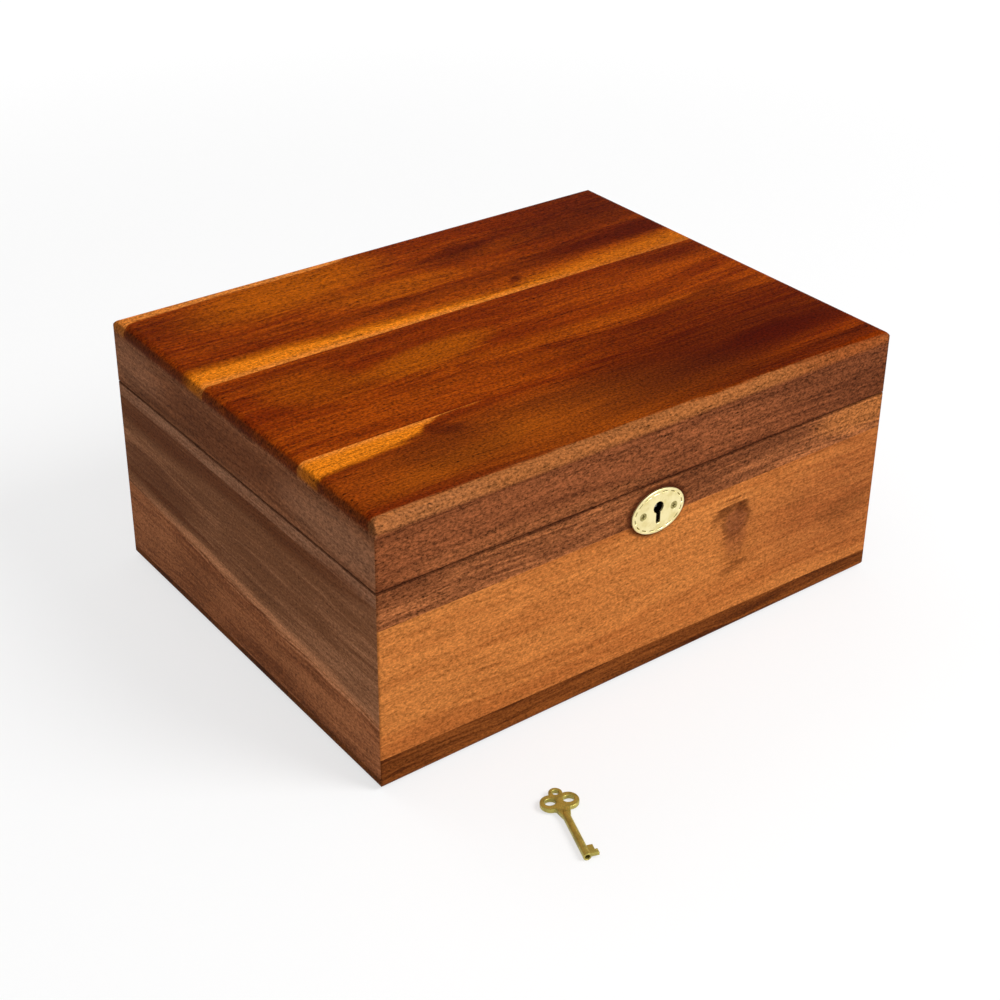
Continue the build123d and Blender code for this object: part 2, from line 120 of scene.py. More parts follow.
class WoodSettings(bpy.types.PropertyGroup):
    """Colours of the boards and the scale of their grain. The tones of KINDS are added after it."""

    top_deep: colour("Top, deep", "Darkest heartwood of the top", 62, 6, 1)
    # Partly golden figure of the wood, partly painted sheen on the top.
    top_glow: colour("Top, golden", "Golden patches of the top", 198, 106, 9)
    # Painted highlight: the lighter colour of the top's rounded front edge stands in for light on that
    # edge.
    top_edge: colour("Top, edge", "Lighter long edge of the top's front board", 151, 90, 46)
    sapwood: colour("Sapwood", "Bright sapwood stripes", 216, 119, 20)
    sapwood_pale: colour("Sapwood, pale", "Sapwood at its joint and on the back edge", 206, 120, 48)
    # Light wood along the side walls' low joints, and the painted highlight on the top's front-left corner.
    joint_light: colour("Joint, light", "Light wood beside the side walls' low joints", 198, 134, 92)
    end_grain: colour("End grain", "Tint of the boards' ends", 58, 34, 18)
    knot: colour("Knot", "Heart of the knots", 110, 48, 28)
    # Besides the pores, this colour paints shade along the seam, round the keyhole plate and along the
    # walls' foot.
    pore: colour("Pore", "Open pores", 60, 26, 12)
    figure_length: length("Figure length", "Length of the broad figure along the grain", 190.0)
    figure_width: length("Figure width", "Width of the broad figure", 20.0)
    streak_length: length("Streak length", "Length of the fine streaks along the grain", 46.0)
    streak_width: length("Streak width", "Width of the fine streaks", 1.7)
    fibre_length: length("Fibre length", "Length of the fibres", 3.2)
    fibre_width: length("Fibre width", "Width of the fibres", 0.42)
    speckle: length("Speckle", "Width of the sandy speckle between the fibres", 0.9)
    pore_length: length("Pore length", "Length of the pores along the grain", 3.2)
    pore_width: length("Pore width", "Width of the pores", 0.5)
    roughness: number("Roughness", "Roughness of the lacquer", 0.46)
    gloss: number("Gloss", "Strength of the lacquer's reflection", 0.006)


for kind, (place_name, *tones) in KINDS.items():
    for tone, parts in zip(("dark", "light"), tones):
        field = colour(f"{kind.title()}, {tone}", f"{tone.title()} figure of the {place_name}", *parts)
        WoodSettings.__annotations__[f"{kind}_{tone}"] = field


class MetalSettings(bpy.types.PropertyGroup):
    """Colours of the metal pieces."""

    pale_brass: colour("Pale brass", "Face of the keyhole plate", 250, 236, 180)
    pale_brass_dark: colour("Pale brass, dull", "Duller patches of the keyhole plate", 226, 208, 140)
    engraving: colour("Engraving", "Floor of the engraved dashes", 120, 104, 48)
    screw_brass: colour("Screw brass", "Screws of the keyhole plate", 190, 178, 118)
    brass: colour("Brass", "Hinges, lock plate, strike plate and their screws", 205, 168, 88)
    brass_dark: colour("Brass, dull", "Tarnish on the brass", 146, 108, 48)
    key_brass: colour("Key brass", "Faces of the key", 180, 166, 80)
    key_brass_dark: colour("Key brass, dull", "Darker patches of the key", 128, 116, 52)
    steel: colour("Steel", "Lock case, bolt, spring, drill pin and guide posts", 176, 176, 174)
    steel_dark: colour("Steel, dull", "Stains on the steel", 112, 108, 102)


class PlateSettings(bpy.types.PropertyGroup):
    """Sizes of the oval keyhole plate."""

    round_edge: length("Rim rounding", "Rounding of the plate's outer rim", 0.45)
    dash_inset: length("Dash inset", "Distance of the engraved dashes from the rim", 1.5)
    dash_width: length("Dash width", "Width of the engraved dashes", 0.7)
    dash_depth: length("Dash depth", "Depth of the engraved dashes", 0.16)
    dash_count: IntProperty(name="Dashes", description="Engraved dashes round the plate", default=16, min=3)
    steps_per_dash: IntProperty(name="Steps", description="Facets of a dash and its gap", default=13, min=4)
    dash_share: number("Dash share", "Length of a dash, as a share of a dash and its gap", 0.65)
    dash_slope: length("Dash slope", "Width of the slope on each side of a dash", 0.154)
    hole_radius: length("Keyhole radius", "Radius of the keyhole's round part", 2.8)
    slot_width: length("Keyhole slot", "Width of the keyhole's slot", 2.4)
    slot_drop: length("Keyhole drop", "Distance of the slot's end below the round part's centre", 7.8)
    hole_ease: length("Keyhole easing", "Easing of the keyhole's edge", 0.18)
    screw_hole_radius: length("Screw hole", "Radius of the holes for the screws, at the face", 1.94)
    screw_shank_radius: length("Screw shank hole", "Radius of the holes for the screws, at the back", 0.99)


class KeySettings(bpy.types.PropertyGroup):
    """Sizes and place of the key."""

    length: length("Length", "Length of the key", 41.0)
    shaft_radius: length("Shaft radius", "Radius of the shaft", 1.7)
    bore_radius: length("Bore radius", "Radius of the bore in the shaft", 1.05)
    bore_depth: length("Bore depth", "Depth of the bore", 11.0)
    bow_thickness: length("Bow thickness", "Thickness of the bow", 2.0)
    round_edge: length("Bow rounding", "Rounding of the bow's edges", 0.42)
    bit_round_edge: length("Bit rounding", "Rounding of the bit's edges", 0.252)
    tip_ease: length("Tip easing", "Easing of the edges at the shaft's tip", 0.16)
    lobe_radius: length("Lobe radius", "Radius of the two large lobes", 4.5)
    lobe_spread: length("Lobe spread", "Distance of a lobe's centre from the middle", 3.7)
    lobe_hole_shift: length("Lobe hole shift", "Distance of a lobe's hole from the lobe's centre", 0.2)
    lobe_hole_length: length("Lobe hole length", "Size of a lobe's hole across the key", 4.6)
    lobe_hole_width: length("Lobe hole width", "Size of a lobe's hole along the key", 3.7)
    crown_radius: length("Crown radius", "Radius of the small lobe at the end", 2.9)
    crown_height: length("Crown height", "Distance of its centre from the large lobes' centres", 5.2)
    crown_hole_radius: length("Crown hole", "Radius of the small lobe's hole", 1.35)
    neck_fillet: length("Neck fillet", "Radius of the fillet between a lobe and the neck", 0.9)
    neck_turn: turn("Neck turn", "Turn of that fillet, which sets the neck's taper", 74.0)
    bit_reach: length("Bit reach", "Distance of the bit's long step from the shaft's middle", 5.1)
    bit_short_reach: length("Bit short reach", "Distance of its short step from the shaft's middle", 4.0)
    bit_root: length("Bit root", "Distance of the bit's root from the shaft's middle", 1.36)
    bit_setback: length("Bit setback", "Distance of the bit from the key's tip", 0.6)
    bit_tip_length: length("Bit step", "Length of the bit's long step along the key", 2.4)
    bit_length: length("Bit length", "Length of the whole bit along the key", 5.2)
    bit_thickness: length("Bit thickness", "Thickness of the bit", 1.6)
    tip_x: length("Tip X", "Place of the key's tip", -97.7)
    tip_y: length("Tip Y", "Place of the key's tip", -188.0)
    direction: turn("Direction", "Direction from the tip to the bow", 70.7)


class StageSettings(bpy.types.PropertyGroup):
    """Camera, floor and lamps."""

    azimuth: turn("Azimuth", "Camera's turn round the box, from the front", -37.11)
    elevation: turn("Elevation", "Camera's height above the horizon", 28.22)
    roll: turn("Roll", "Camera's turn about its own line of sight", 0.61)
    distance: length("Distance", "Camera's distance from its target", 835.9)
    target_height: length("Target height", "Height that the camera looks at", 88.3)
    lens: number("Lens", "Focal length", 65.0, "CAMERA")
    sensor: number("Sensor", "Width of the camera's sensor", 36.0, "CAMERA")
    shift: number("Shift", "Upward shift of the picture, as a share of its width", -0.1)
    floor_radius: length("Floor radius", "Radius of the flat floor", 2200.0)
    sweep_radius: length("Sweep radius", "Radius of the curve from the floor to the backdrop", 500.0)
    sweep_height: length("Sweep height", "Height of the backdrop", 900.0)
    world_light: number("World light", "Strength of the light from all sides", 0.5)
    key_light: number("Key light", "Power of the main lamp", 26.0, "POWER")
    key_place: location("Key light's place", "Place of the main lamp", 720, -1160, 1310)
    key_size: length("Key light's size", "Width of the main lamp", 1000.0)
    fill_light: number("Fill light", "Power of the lamp above the back", 5.0, "POWER")
    fill_place: location("Fill light's place", "Place of the lamp above the back", -400, 1200, 1500)
    fill_size: length("Fill light's size", "Width of the lamp above the back", 1200.0)
    paper: number("Paper", "Brightness of the paper as it lights the box", 0.86)
    white: number("White", "Brightness of the paper as the camera sees it", 1.05)
    shadow_near: number("Shadow", "Share of the box's shadow that stays on the paper", 0.38)
    shadow_reach: length("Shadow's reach", "Distance at which the shadow starts to fade", 400.0)
    shadow_end: length("Shadow's end", "Distance at which the shadow is gone", 1200.0)


GROUPS = {
    "keepsake_wood": WoodSettings,
    "keepsake_metal": MetalSettings,
    "keepsake_plate": PlateSettings,
    "keepsake_key": KeySettings,
    "keepsake_stage": StageSettings,
}


# Shaders

# How far one step of a noise's seed moves it along each axis.
SEED_STEPS = (3.17, 5.39, 7.73)


class Value:
    """One socket of a material. Arithmetic on it adds Math nodes."""

    def __init__(self, finish, socket):
        self.finish = finish
        self.socket = socket

    def maths(self, operation, *others):
        return self.finish.add("ShaderNodeMath", {"operation": operation}, dict(enumerate((self, *others))))

    def __add__(self, other):
        return self.maths("ADD", other)

    def __sub__(self, other):
        return self.maths("SUBTRACT", other)

    def __rsub__(self, other):
        return self.maths("MULTIPLY_ADD", -1.0, other)

    def __mul__(self, other):
        return self.maths("MULTIPLY", other)

    def __truediv__(self, other):
        return self.maths("DIVIDE", other)

    def __pow__(self, other):
        return self.maths("POWER", other)

    def __abs__(self):
        return self.maths("ABSOLUTE")

    def sine(self):
        return self.maths("SINE")

    def least(self, other):
        return self.maths("MINIMUM", other)

    def sway(self, width):
        """Noise from 0 to 1, turned into a change of half the width each way."""
        return (self - 0.5) * width

    __radd__ = __add__
    __rmul__ = __mul__


class Finish:
    """A material and the node tree that makes it. Its points are in millimetres."""

    def __init__(self, name):
        self.material = bpy.data.materials.new(name)
        self.material.use_nodes = True
        self.tree = self.material.node_tree
        self.tree.nodes.clear()
        metres = self.add("ShaderNodeTexCoord", {}, {}, "Object")
        scale = {"Vector": metres, "Scale": 1 / MM}
        self.point = self.add("ShaderNodeVectorMath", {"operation": "SCALE"}, scale)

    def add(self, kind, settings, inputs, output=0):
        """Adds a node: its settings first, then the values or links of its sockets."""
        node = self.tree.nodes.new(kind)
        for name, value in settings.items():
            setattr(node, name, value)
        for name, value in inputs.items():
            socket = node.inputs[name]
            if isinstance(value, Value):
                self.tree.links.new(value.socket, socket)
            elif socket.type == "RGBA":
                socket.default_value = (*value, 1.0)
            else:
                socket.default_value = value
        if output is None:
            return node
        return Value(self, node.outputs[output])

    def vector(self, operation, first, second):
        return self.add("ShaderNodeVectorMath", {"operation": operation}, {0: first, 1: second})

    def split(self, point):
        node = self.add("ShaderNodeSeparateXYZ", {}, {"Vector": point}, None)
        return {axis: Value(self, node.outputs[axis]) for axis in "XYZ"}

    def join(self, x, y, z):
        return self.add("ShaderNodeCombineXYZ", {}, {"X": x, "Y": y, "Z": z})

    def noise(self, point, size, seed=0.0, detail=2.0, roughness=0.5, output="Fac"):
        """Noise with features of the given sizes along the three axes of the point."""
        scale = tuple(1 / part for part in size)
        shift = tuple(seed * step for step in SEED_STEPS)
        spread = self.add("ShaderNodeMapping", {}, {"Vector": point, "Location": shift, "Scale": scale})
        return self.add("ShaderNodeTexNoise", {}, {
            "Vector": spread, "Scale": 1.0, "Detail": detail, "Roughness": roughness}, output)

    def ease(self, value, start, end, high=1.0, low=0.0):
        """A smooth step from low at start to high at end."""
        return self.add("ShaderNodeMapRange", {"interpolation_type": "SMOOTHSTEP"}, {
            "Value": value, "From Min": start, "From Max": end, "To Min": low, "To Max": high})

    def curve(self, value, stops):
        """A smooth curve through (place, level) stops, both from 0 to 1."""
        node = self.add("ShaderNodeValToRGB", {}, {"Fac": value}, None)
        node.color_ramp.interpolation = "EASE"
        elements = node.color_ramp.elements
        while len(elements) < len(stops):
            elements.new(1.0)
        for element, (place, level) in zip(elements, stops):
            element.position = place
            element.color = (level, level, level, 1.0)
        return Value(self, node.outputs[0])

    def blend(self, factor, first, second, mode="MIX"):
        return self.add("ShaderNodeMix", {"data_type": "RGBA", "blend_type": mode}, {
            0: factor, 6: first, 7: second}, 2)

    def surface(self, sockets, height, bump, reach):
        """Joins the sockets' values to the surface shader, with height as its bump."""
        sockets["Normal"] = self.add("ShaderNodeBump", {}, {
            "Height": height, "Strength": bump, "Distance": reach})
        return self.closed(self.add("ShaderNodeBsdfPrincipled", {}, sockets))

    def closed(self, shader):
        self.add("ShaderNodeOutputMaterial", {}, {"Surface": shader}, None)
        return self.material


# Wood. Places and sizes are in millimetres.

Mark = namedtuple("Mark", "tone along across length width strength slope", defaults=(0.0,))
Margin = namedtuple("Margin", "tone core line side fringe widths")
Knot = namedtuple("Knot", "tone rim along across length width strength")
Grain = namedtuple("Grain", "along across ragged wavy figured streak fibre speckle pore vein")

# A board's axes are along its grain, across it and through it, and its kind is one of KINDS.
Board = namedtuple(
    "Board", "node axes kind seed layers pores speckle veins end skirts hollow",
    defaults=((), 0.25, 2.2, 0.35, 0.0, (), None),
)

# How the grain drifts and wavers.
DRIFT_SIZE = (130.0, 40.0, 40.0)
DRIFT_REACH = (0.0, 16.0, 16.0)
RAGGED_STREAK, RAGGED_FIBRE = 12.0, 2.0
WAVY_FIGURE, WAVY_STREAK = 5.0, 4.0
KNOT_RINGS = 17.0

# Where soft edges start and end, and how strong they are.
MARGIN_EDGE = (0.9, -1.1)
MARGIN_LEAST = 0.8
HALO_WIDTHS = (3.0, 8.0)
CORE_WIDTH = 5.0
CORE_EDGE = (0.4, -0.8)
END_EDGE = (HALF_LENGTH - 1.7, HALF_LENGTH - 0.6)
SKIRT_TOP = (TOP_Z - 4.2, TOP_Z - 6.8)
SKIRT_INSETS = (2.0, 0.5)
# Painted shade in the gap between the lid and the base, along the seam.
SEAM_SHADE_EDGE = (1.0, 0.5)
SEAM_SHADE_SWAY = 0.6
SEAM_SHADE_STRENGTH = 0.62
# The painted shadow round the keyhole plate.
PLATE_SHADOW_EDGE = (1.26, 1.04)
PLATE_SHADOW_STRENGTH = 0.8
# The front face, where the painted shade behind the keyhole lies.
KEYHOLE_SHADE_FRONT = (-0.1 - HALF_DEPTH, 0.05 - HALF_DEPTH)

# The shift of the painted shadow round the keyhole plate from the plate's middle, across and up.
PLATE_SHADOW_SHIFT = (-0.5, 0.3)


def with_mark(finish, wood, mark, grain, tone):
    """The tone with one soft streak in it, longer along the grain than across."""
    from_middle = grain.along - mark.along
    u = from_middle / mark.length
    v = (grain.ragged - mark.across - from_middle * mark.slope) / mark.width
    mask = finish.ease(u * u + v * v, 1.0, 0.0, mark.strength)
    return finish.blend(mask, tone, getattr(wood, mark.tone))


def with_margin(finish, wood, margin, grain, tone):
    """The tone with a band along a joint or an edge, whose width follows a curve: a band of other wood, or
    a painted highlight along an edge.
    """
    widest = max(width for _, width in margin.widths)
    stops = [((along + HALF_LENGTH) / (2 * HALF_LENGTH), width / widest) for along, width in margin.widths]
    width = finish.curve((grain.along + HALF_LENGTH) / (2 * HALF_LENGTH), stops) * widest
    reach = (grain.wavy - margin.line) * margin.side - width
    if margin.fringe:
        # A golden fringe beside the band, partly painted sheen.
        halo = finish.ease(reach, margin.fringe, -1.0, 0.6) * finish.ease(width, *HALO_WIDTHS)
        tone = finish.blend(halo, tone, wood.top_glow)
    there = finish.ease(width, 0.0, MARGIN_LEAST)
    outside, inside = MARGIN_EDGE
    edge = finish.ease(reach, outside, inside - margin.fringe * 0.25) * there
    body = finish.blend(edge, tone, getattr(wood, margin.tone))
    core = finish.ease(reach + width, CORE_WIDTH, 0.0, 0.75) * finish.ease(reach, *CORE_EDGE) * there
    return finish.blend(core, body, getattr(wood, margin.core))


def with_knot(finish, wood, knot, grain, tone):
    """The tone with a knot: a soft shade round it, a dark rim and turned rings in its heart."""
    u = (grain.along - knot.along) / knot.length
    v = (grain.across - knot.across) / knot.width
    radius = (u * u + v * v) ** 0.5 + grain.streak.sway(0.9)
    shade_round = finish.ease(radius, 2.0, 0.8, knot.strength * 0.4)
    tone = finish.blend(shade_round, tone, getattr(wood, knot.tone))
    rings = finish.ease((radius * KNOT_RINGS).sine(), -0.6, 0.9)
    heart = finish.blend(rings * 0.4, getattr(wood, knot.tone), getattr(wood, knot.rim))
    tone = finish.blend(finish.ease(radius, 1.15, 0.6, knot.strength), tone, heart)
    rim = finish.ease(abs(radius - 1.0), 0.25, 0.0, knot.strength * 0.6)
    return finish.blend(rim, tone, getattr(wood, knot.rim))


PAINTERS = {Mark: with_mark, Margin: with_margin, Knot: with_knot}


def board_grain(finish, wood, board, parts):
    """The parts of a board's grain, which run along it and all through the wood."""
    point = finish.join(*(parts[axis] for axis in board.axes))
    along, across = (parts[axis] for axis in board.axes[:2])

    def grained(place, size, width, order, detail, roughness=0.6):
        sizes = (size / MM, width / MM, width / MM)
        return finish.noise(place, sizes, board.seed + order, detail, roughness)

    noise = finish.noise(point, DRIFT_SIZE, board.seed, output="Color")
    drift = finish.vector("SUBTRACT", noise, (0.5, 0.5, 0.5))
    drifted = finish.vector("ADD", point, finish.vector("MULTIPLY", drift, DRIFT_REACH))
    figure = grained(drifted, wood.figure_length, wood.figure_width, 1, 4.0, 0.55)
    streak = grained(drifted, wood.streak_length, wood.streak_width, 2, 3.0)
    fibre = grained(drifted, wood.fibre_length, wood.fibre_width, 3, 2.0)
    pore = grained(point, wood.pore_length, wood.pore_width, 4, 1.0)
    speckle = grained(point, wood.speckle * 1.6, wood.speckle, 5, 2.0, 0.7)
    vein = grained(drifted, wood.streak_length * 1.6, wood.streak_width * 0.7, 6, 2.0)
    return Grain(
        along, across,
        ragged=across + streak.sway(RAGGED_STREAK) + fibre.sway(RAGGED_FIBRE),
        wavy=across + figure.sway(WAVY_FIGURE) + streak.sway(WAVY_STREAK),
        figured=finish.ease(figure * 0.6 + streak * 0.4, 0.38, 0.62),
        streak=streak, fibre=fibre, speckle=speckle,
        pore=finish.ease(pore, 0.60, 0.74), vein=finish.ease(vein, 0.56, 0.72),
    )


def two_tones(finish, wood, kind, grain):
    """A kind's dark and light tone, in the figure of the grain."""
    return finish.blend(grain.figured, getattr(wood, kind + "_dark"), getattr(wood, kind + "_light"))


def with_rims(finish, wood, board, grain, parts, tone):
    """The tone with darker end grain, and with the side walls' wood on the low rim of the lid's top."""
    end = finish.ease(abs(parts["X"]), *END_EDGE, board.end)
    tone = finish.blend(end, tone, wood.end_grain)
    for axis, half, kind in board.skirts:
        outer = finish.ease(abs(parts[axis]), *(half - inset for inset in SKIRT_INSETS))
        low = finish.ease(parts["Z"], *SKIRT_TOP) * outer
        tone = finish.blend(low, tone, two_tones(finish, wood, kind, grain))
    return tone


def with_keyhole(finish, wood, board, grain, parts, tone):
    """The tone with a painted shadow round the keyhole plate and painted black shade behind its keyhole."""
    low, high = (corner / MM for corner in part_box("escutcheon"))
    u = (parts["X"] - (low.x + high.x) / 2 - PLATE_SHADOW_SHIFT[0]) / ((high.x - low.x) / 2)
    v = (parts["Z"] - (low.z + high.z) / 2 - PLATE_SHADOW_SHIFT[1]) / ((high.z - low.z) / 2)
    # Painted shadow of the keyhole plate on the wood, in the pores' colour.
    ring = finish.ease((u * u + v * v) ** 0.5 + grain.fibre.sway(0.1), *PLATE_SHADOW_EDGE, PLATE_SHADOW_STRENGTH)
    tone = finish.blend(ring, tone, wood.pore)
    # Painted shade: black on the front face round the keyhole, seen through it.
    across, up, reach = board.hollow
    away = ((parts["X"] - across) ** 2.0 + (parts["Z"] - up) ** 2.0) ** 0.5
    inside = finish.ease(away, reach, reach - 1.0) * finish.ease(parts["Y"], *KEYHOLE_SHADE_FRONT)
    return finish.blend(inside * 0.95, tone, (0.0, 0.0, 0.0))


def wood_finish(board):
    """A board's material: two tones in the figure of the grain, then layers, rims and the finer grain."""
    wood = bpy.context.scene.keepsake_wood
    finish = Finish(board.node + "_wood")
    parts = finish.split(finish.point)
    grain = board_grain(finish, wood, board, parts)

    tone = two_tones(finish, wood, board.kind, grain)
    for layer in board.layers:
        tone = PAINTERS[type(layer)](finish, wood, layer, grain, tone)
    tone = with_rims(finish, wood, board, grain, parts, tone)
    # Painted shade along the seam between the lid and the base, in the pores' colour.
    from_seam = abs(parts["Z"] - SEAM_Z) + grain.fibre.sway(SEAM_SHADE_SWAY)
    seam_shade = finish.ease(from_seam, *SEAM_SHADE_EDGE, SEAM_SHADE_STRENGTH)
    tone = finish.blend((grain.pore * board.pores + seam_shade).least(1.0), tone, wood.pore)
    level = 1.0 + grain.streak.sway(0.5) + grain.fibre.sway(0.6) + grain.speckle.sway(board.speckle)
    tone = finish.blend(1.0, tone, level - grain.vein * board.veins, "MULTIPLY")
    if board.hollow:
        tone = with_keyhole(finish, wood, board, grain, parts, tone)

    relief = grain.streak * 0.4 + grain.fibre * 0.3 + grain.speckle * 0.3 - grain.pore * 0.6
    roughness = wood.roughness + grain.streak.sway(0.16) + grain.pore * 0.2
    return finish.surface({
        "Base Color": tone, "Roughness": roughness, "Specular IOR Level": wood.gloss,
    }, relief, bump=0.22, reach=0.25 * MM)


def finish_boards(boards):
    for board in boards:
        material = wood_finish(board)
        for slot in nodes[board.node].material_slots:
            slot.material = material


END_SKIRT = ("X", HALF_LENGTH, "umber")
# On the top, the golden marks are partly golden figure and partly painted sheen.
TOP_BOARDS = [
    Board("top_board_back", "XYZ", "top", 1, [
        Mark("top_glow", -61, 88, 70, 26, 0.36, 0.1),
        Mark("top_glow", -20, 61, 51, 13, 0.24, -0.04),
        Mark("top_deep", -165, 86, 90, 17, 0.48, -0.03),
        Mark("top_deep", 125, 80, 112, 26, 0.72, 0.04),
        Mark("top_deep", 30, 77, 28, 12, 0.58, 0.15),
        Mark("top_deep", 128, 50, 128, 12, 0.74, 0.01),
        Mark("top_deep", 2, 44, 85, 6, 0.38, -0.03),
        Mark("top_deep", -93, 54, 128, 5, 0.16, -0.14),
        Mark("top_deep", 150, 106, 98, 12, 0.6),
        Margin("sapwood", "sapwood_pale", BACK_JOINT, 1, 7.0, [
            (-140, 13.5), (-100, 12.0), (-60, 8.5), (-10, 6.2),
            (28, 5.4), (50, 8.0), (90, 11.0), (140, 12.5)]),
        Margin("sapwood_pale", "sapwood_pale", HALF_DEPTH, -1, 0.0, [
            (-140, 11.0), (-131, 8.0), (-60, 7.0), (-25, 6.5), (-14, 2.5), (12, 1.5), (32, 0.0)]),
        Mark("top_deep", 35, 35.5, 7, 3.6, 0.75, 0.6),
        Mark("top_light", 100, 30, 85, 15, 0.5),
        Mark("top_deep", 128, 28, 70, 11, 0.14),
    ], pores=0.12, speckle=3.0, end=0.6, skirts=[END_SKIRT, ("Y", HALF_DEPTH, "umber")]),
    Board("top_board_middle", "XYZ", "top", 2, [
        Mark("top_glow", -45, -6, 48, 13, 0.35, 0.1),
        Mark("top_glow", -101, -3, 31, 22, 0.18, -0.15),
        Mark("top_glow", 30, -23, 112, 8, 0.12, -0.06),
        Mark("top_deep", -98, 17, 84, 6, 0.27, 0.06),
        Mark("top_deep", 115, 17, 39, 13, 0.45, -0.05),
        Mark("top_deep", -30, -30, 65, 7, 0.24, -0.03),
        Mark("top_deep", 78, -45, 128, 20, 0.54, -0.04),
        Mark("top_deep", 100, -29, 53, 5, 0.42, 0.04),
    ], pores=0.12, speckle=3.0, end=0.6, skirts=[END_SKIRT]),
    Board("top_board_front", "XYZ", "top", 3, [
        Mark("top_glow", -23, -86, 124, 30, 0.2, -0.08),
        Mark("top_glow", -88, -88, 66, 9, 0.18, 0.15),
        Mark("top_deep", 79, -82, 128, 15, 0.73, 0.1),
        Mark("top_deep", 72, -65, 128, 24, 0.75, 0.05),
        Mark("top_deep", 84, -101, 98, 11, 0.66),
        Mark("top_deep", -80, -80, 33, 20, 0.4, -0.08),
        Mark("top_deep", -76, -64, 12, 7, 0.6, -0.3),
        Mark("low_dark", -50, -85, 150, 34, 0.3),
        Margin("sapwood", "sapwood_pale", FRONT_JOINT, -1, 3.0, [
            (-140, 14.5), (-120, 13.0), (-100, 11.0), (-88, 8.5),
            (-80, 4.0), (-72, 1.6), (-55, 0.7), (-42, 0.0)]),
        # A painted highlight along the rounded front edge, widest at the left.
        Margin("top_edge", "top_edge", -HALF_DEPTH, 1, 0.0, [(-140, 3.6), (0, 3.2), (60, 2.6), (140, 1.6)]),
        # A painted highlight on the top's rounded front-left corner.
        Mark("joint_light", -118, -107.5, 42, 4.5, 0.1),
        # Dims the painted highlight of the front edge towards the right end.
        Mark("top_dark", 135, -107, 70, 7, 0.45),
    ], pores=0.12, speckle=3.0, end=0.6, skirts=[("Y", HALF_DEPTH, "plum"), END_SKIRT]),
]

# The middle of the keyhole across and up, and the radius of the painted shade behind it.
KEYHOLE_SHADE = (2.4, 80.0, 8.0)
FRONT_BOARDS = [
    Board("lid_front_wall", "XZY", "plum", 4, [
        Mark("strip_light", -60, 99, 90, 6, 0.4),
        Mark("plum_dark", 125, 112, 70, 20, 0.4),
    ], pores=0.5, speckle=3.2, end=0.2),
    Board("front_wall_strip", "XZY", "strip", 4, [
        Mark("tan_light", 128, 90, 40, 12, 0.5),
        Mark("strip_dark", 42, 85, 34, 5, 0.45),
    ], pores=0.5, speckle=3.2, end=0.2, hollow=KEYHOLE_SHADE),
    Board("front_wall_board", "XZY", "tan", 5, [
        Mark("tan_light", 10, 52, 90, 30, 0.5),
        Mark("knot", 125, 48, 85, 44, 0.4),
        Mark("low_dark", 122, 41, 22, 10, 0.34, 0.1),
        Mark("low_light", 50, 46, 11, 14, 0.4),
        Mark("low_dark", 51, 34.5, 12, 2.6, 0.6, 0.1),
        Mark("plum_light", 51, 50, 9, 14, 0.45),
        Knot("plum_light", "low_dark", 50, 59.5, 7.5, 7.5, 0.85),
        Mark("low_dark", 42, 66, 9, 4.0, 0.75, 0.5),
        Mark("low_dark", 53, 65.5, 7, 4.5, 0.65, -0.5),
    ], pores=0.12, veins=0.15, end=0.2, hollow=KEYHOLE_SHADE),
    Board("front_wall_low_strip", "XZY", "low", 6, [
        Mark("low_dark", 90, 8, 70, 8, 0.4),
        # A dark band at the foot: painted shade along the bottom edge.
        Mark("pore", 0, 0, 500, 5.0, 0.45),
    ], pores=0.35, end=0.2),
]

JOINT_LINE = Mark("joint_light", -15, 38.2, 140, 4.2, 0.7, 0.05)
SIDE_BOARDS = [
    Board("lid_left_wall", "YZX", "umber", 7, [
        Mark("low_dark", 10, 110, 75, 16, 0.55),
        Mark("line_light", -85, 108, 60, 14, 0.55),
        Mark("line_light", 95, 110, 40, 14, 0.3),
    ], veins=0.15),
    Board("left_wall_strip", "YZX", "line", 8, veins=0.15),
    Board("left_wall_board", "YZX", "side", 9, [
        Mark("low_dark", 70, 84, 90, 10, 0.8),
        Mark("low_dark", -36, 86.5, 90, 8, 0.68),
        Mark("low_dark", 75, 60, 60, 14, 0.45),
        Mark("low_dark", 60, 49, 70, 3, 0.6, 0.04),
        JOINT_LINE,
    ], veins=0.1),
    Board("left_wall_low_board", "YZX", "russet", 10, [
        Mark("low_dark", 45, 24, 30, 12, 0.3),
        # A dark band at the foot: painted shade along the bottom edge.
        Mark("pore", 0, 0, 500, 7.5, 0.65),
        JOINT_LINE,
    ], veins=0.15),
    Board("lid_right_wall", "YZX", "umber", 11),
    Board("right_wall_strip", "YZX", "line", 12),
    Board("right_wall_board", "YZX", "side", 13, [
        Mark("low_dark", -20, 72, 110, 8, 0.5, 0.03),
    ]),
    Board("right_wall_low_board", "YZX", "russet", 14, [
        Mark("joint_light", 20, 38, 120, 2.2, 0.6),
    ]),
]

BACK_BOARDS = [
    Board("lid_back_wall", "XZY", "umber", 15, end=0.2),
    Board("back_wall_board", "XZY", "side", 16, [
        Mark("low_dark", 40, 74, 90, 7, 0.5, 0.02),
    ], end=0.2),
    Board("back_wall_low_board", "XZY", "russet", 17, end=0.2),
]

BOTTOM_BOARDS = [
    Board("bottom_board_" + place, "XYZ", "low", seed, pores=0.35, end=0.4)
    for place, seed in (("back", 18), ("middle", 19), ("front", 20))
]


# Metal

BRUSH_SIZE = (4.0, 0.12, 0.12)
CAST_SIZE = (0.3, 0.3, 0.3)
PIT_SIZE = (0.5, 0.5, 0.5)


